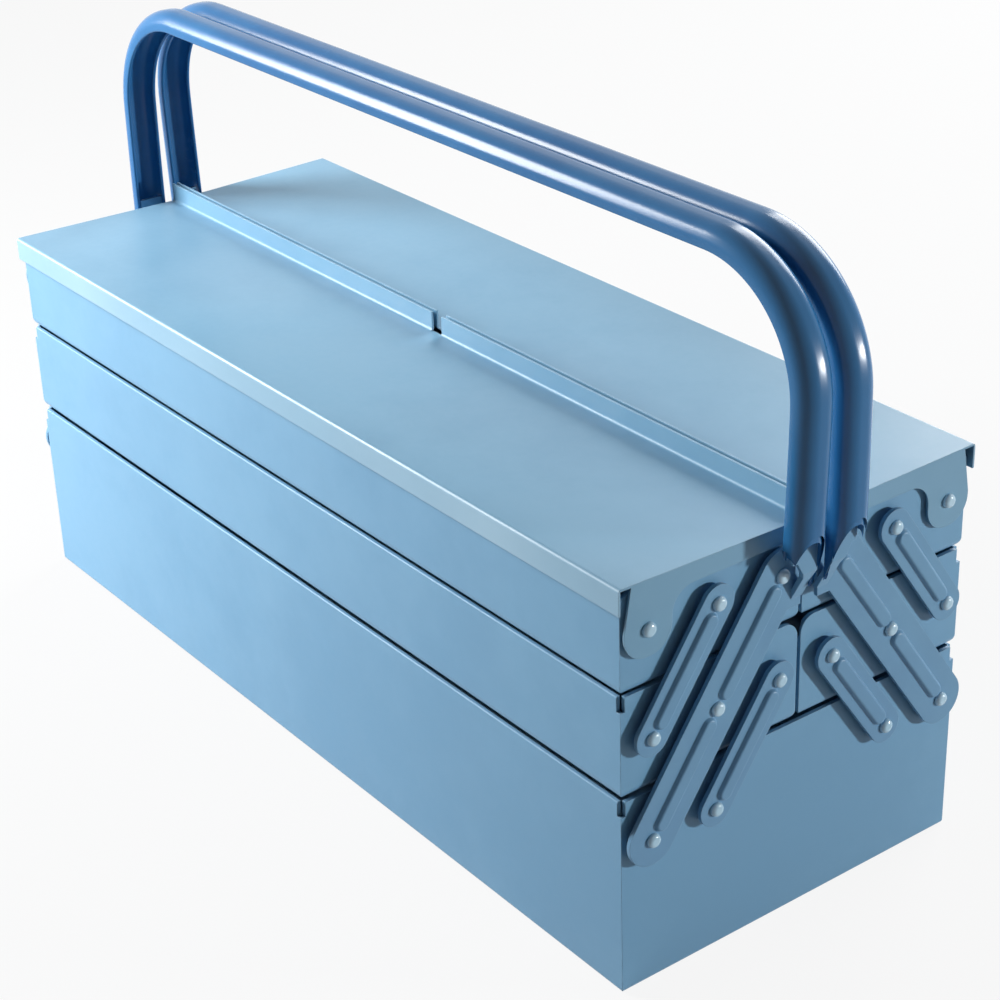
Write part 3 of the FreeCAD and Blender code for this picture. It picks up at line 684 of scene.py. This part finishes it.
@dataclass
class Studio:
    """Pale floor, soft lamps and the camera."""

    floor_half: float = 6.0
    floor_colour: Colour = (0.42, 0.43, 0.44, 1.0)
    floor_roughness: float = 0.9
    floor_glow: float = 0.9
    air: float = 0.04
    lamps: tuple[Lamp, ...] = (
        Lamp("lamp_front_left", (-0.76, -0.60, 0.58), (0.42, 0.60), 21.7),
        Lamp("lamp_rear", (-0.45, 1.75, 1.15), (1.3, 1.3), 46.0),
        Lamp("lamp_right_rear", (2.90, 2.60, 0.40), (0.30, 0.30), 98.0),
    )
    lamp_aim: tuple[float, float, float] = (0.0, 0.0, 0.12)
    camera_azimuth: float = 53.72
    camera_elevation: float = 27.17
    camera_roll: float = -1.99
    camera_distance: float = 1.17681
    target: tuple[float, float, float] = (0.01192, 0.0240, 0.1020)
    lens: float = 82.68
    sensor: float = 36.0
    nearest: float = 0.05
    farthest: float = 50.0

    def build(self) -> list[str]:
        """Set up the floor, the world, the lamps and the camera.

        Returns:
            Names of what was set up.
        """
        scene = bpy.context.scene
        scene.view_settings.view_transform = "Standard"
        return [self.add_floor(), self.add_world(scene), *map(self.hang_lamp, self.lamps),
                self.add_camera(scene)]

    def add_floor(self) -> str:
        """Lay a wide plain floor that fades to white before the camera.

        Returns:
            Name of the floor.
        """
        mesh = bpy.data.meshes.new("studio_floor")
        shape = bmesh.new()
        bmesh.ops.create_grid(shape, x_segments=1, y_segments=1, size=self.floor_half)
        shape.to_mesh(mesh)
        shape.free()
        floor = bpy.data.objects.new("studio_floor", mesh)
        bpy.context.scene.collection.objects.link(floor)
        material = bpy.data.materials.new("studio_paper")
        material.use_nodes = True
        graph = Graph(material.node_tree)
        shader = material.node_tree.nodes["Principled BSDF"]
        shader.inputs["Base Color"].default_value = self.floor_colour
        shader.inputs["Roughness"].default_value = self.floor_roughness
        floor.data.materials.append(material)
        self.whiten(graph, material, shader)
        return floor.name

    def whiten(self, graph: Graph, material: bpy.types.Material, shader: bpy.types.Node) -> None:
        """Let the floor shine white to the camera, so that only its shadow shows.

        Args:
            graph: Graph of the floor's material.
            material: The floor's material.
            shader: Its surface shader.
        """
        path = graph.node("LightPath")
        glow = graph.node("Emission")
        glow.inputs["Color"].default_value = WHITE
        seen = graph.maths("MAXIMUM", path.outputs["Is Camera Ray"], path.outputs["Is Transmission Ray"])
        seen = graph.maths("MAXIMUM", seen, path.outputs["Is Glossy Ray"])
        share = graph.maths("MULTIPLY", seen, self.floor_glow)
        blend = graph.node("MixShader")
        graph.feed(blend.inputs[0], share)
        graph.feed(blend.inputs[1], shader.outputs[0])
        graph.feed(blend.inputs[2], glow.outputs[0])
        out = next(node for node in material.node_tree.nodes if node.type == "OUTPUT_MATERIAL")
        graph.feed(out.inputs["Surface"], blend.outputs[0])

    def add_world(self, scene: bpy.types.Scene) -> str:
        """Make a soft white surrounding.

        Args:
            scene: Scene that takes the world.

        Returns:
            Name of the world.
        """
        world = bpy.data.worlds.new("studio_air")
        world.use_nodes = True
        graph = Graph(world.node_tree)
        ground = world.node_tree.nodes["Background"]
        path = graph.node("LightPath")
        seen = graph.maths("MAXIMUM", path.outputs["Is Camera Ray"], path.outputs["Is Transmission Ray"])
        seen = graph.maths("MAXIMUM", seen, path.outputs["Is Glossy Ray"])
        strength = graph.spread(seen, 0.0, 1.0, self.air, 1.0)
        ground.inputs["Color"].default_value = WHITE
        graph.feed(ground.inputs["Strength"], strength)
        scene.world = world
        return world.name

    def hang_lamp(self, lamp: Lamp) -> str:
        """Hang one lamp that faces the box.

        Args:
            lamp: Lamp to hang.

        Returns:
            Name of the lamp.
        """
        data = bpy.data.lights.new(lamp.name, "AREA")
        data.shape = "RECTANGLE"
        data.size, data.size_y = lamp.size
        data.energy = lamp.power
        hung = bpy.data.objects.new(lamp.name, data)
        hung.location = lamp.place
        aim = Vector(self.lamp_aim) - Vector(lamp.place)
        hung.rotation_mode = "QUATERNION"
        hung.rotation_quaternion = aim.to_track_quat("-Z", "Y")
        bpy.context.scene.collection.objects.link(hung)
        return hung.name

    def add_camera(self, scene: bpy.types.Scene) -> str:
        """Place the camera where the photograph was taken from.

        Args:
            scene: Scene that takes the camera.

        Returns:
            Name of the camera.
        """
        data = bpy.data.cameras.new("view_camera")
        data.lens = self.lens
        data.sensor_width = self.sensor
        data.clip_start = self.nearest
        data.clip_end = self.farthest
        camera = bpy.data.objects.new("view_camera", data)
        turn, rise, roll = (math.radians(angle) for angle in
                            (self.camera_azimuth, self.camera_elevation, self.camera_roll))
        back = Vector((math.sin(turn) * math.cos(rise), -math.cos(turn) * math.cos(rise), math.sin(rise)))
        level = Vector((0.0, 0.0, 1.0)).cross(back).normalized()
        upright = back.cross(level)
        right = level * math.cos(roll) + upright * math.sin(roll)
        up = upright * math.cos(roll) - level * math.sin(roll)
        place = Vector(self.target) + back * self.camera_distance
        axes = Matrix((right, up, back)).transposed().to_4x4()
        camera.matrix_world = Matrix.Translation(place) @ axes
        scene.collection.objects.link(camera)
        scene.camera = camera
        return camera.name


def main() -> None:
    """Build every sub-assembly in order and report what each holds."""
    logging.basicConfig(level=logging.INFO, format="%(name)s: %(message)s")
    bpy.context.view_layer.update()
    finishes = Finishes()
    for assembly in (Trays(finishes), Lids(finishes), Linkage(finishes), Handles(finishes), Studio()):
        names = assembly.build()
        LOG.info("%s: %d pieces, %s", type(assembly).__name__, len(names), ", ".join(names))


if __name__ == "__main__":
    main()
